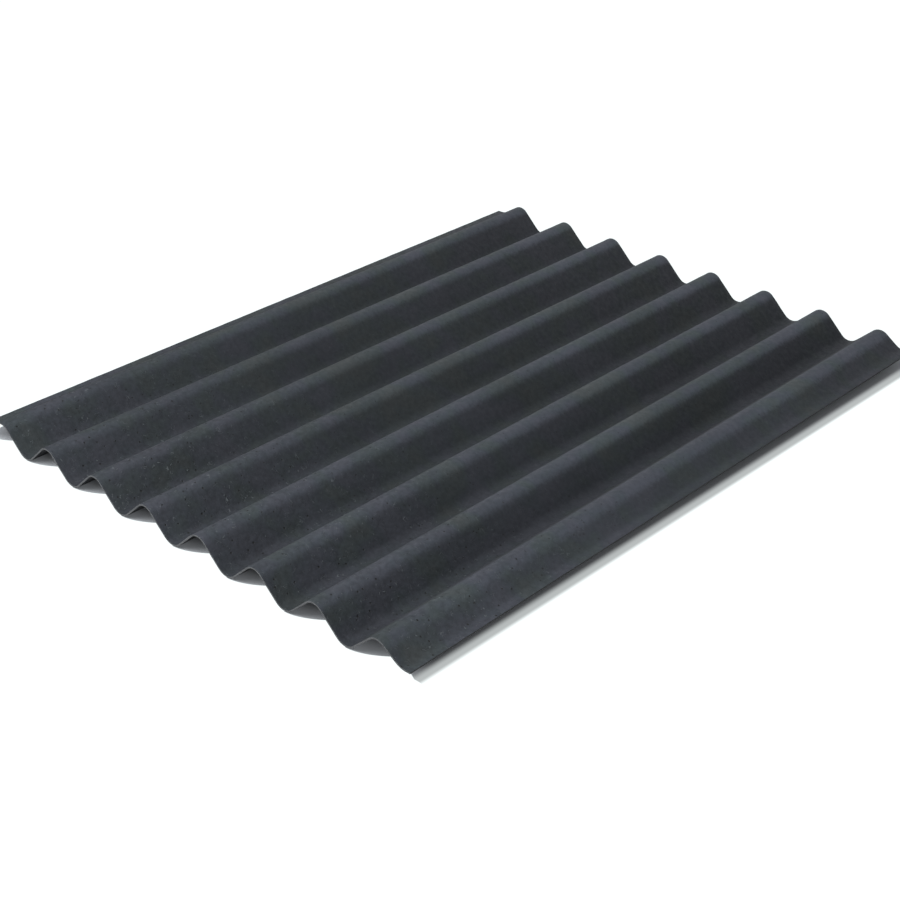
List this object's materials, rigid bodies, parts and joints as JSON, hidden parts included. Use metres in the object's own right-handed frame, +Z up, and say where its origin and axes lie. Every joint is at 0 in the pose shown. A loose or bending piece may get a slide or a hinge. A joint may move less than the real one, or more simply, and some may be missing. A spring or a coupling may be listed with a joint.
{
  "type": "corrugated roofing sheet",
  "caption": "Dark grey corrugated roofing sheet of bitumen-soaked fibre board, with rounded waves, straight flanks and a shallow lip along each side edge.",
  "frame": {"origin": "under the middle of the sheet, on the plane that the undersides of its flutes rest on", "axes": "+X across the waves, +Y along the waves, +Z up to the weather face, with the crests up"},
  "size_m": [0.76, 1, 0.0346],
  "materials": {
    "bitumen_board": "matte anthracite bitumen-soaked fibre board, fine fibrous grain"
  },
  "bodies": {
    "root": {"corrugated_sheet": "bitumen_board"}
  },
  "joints": []
}
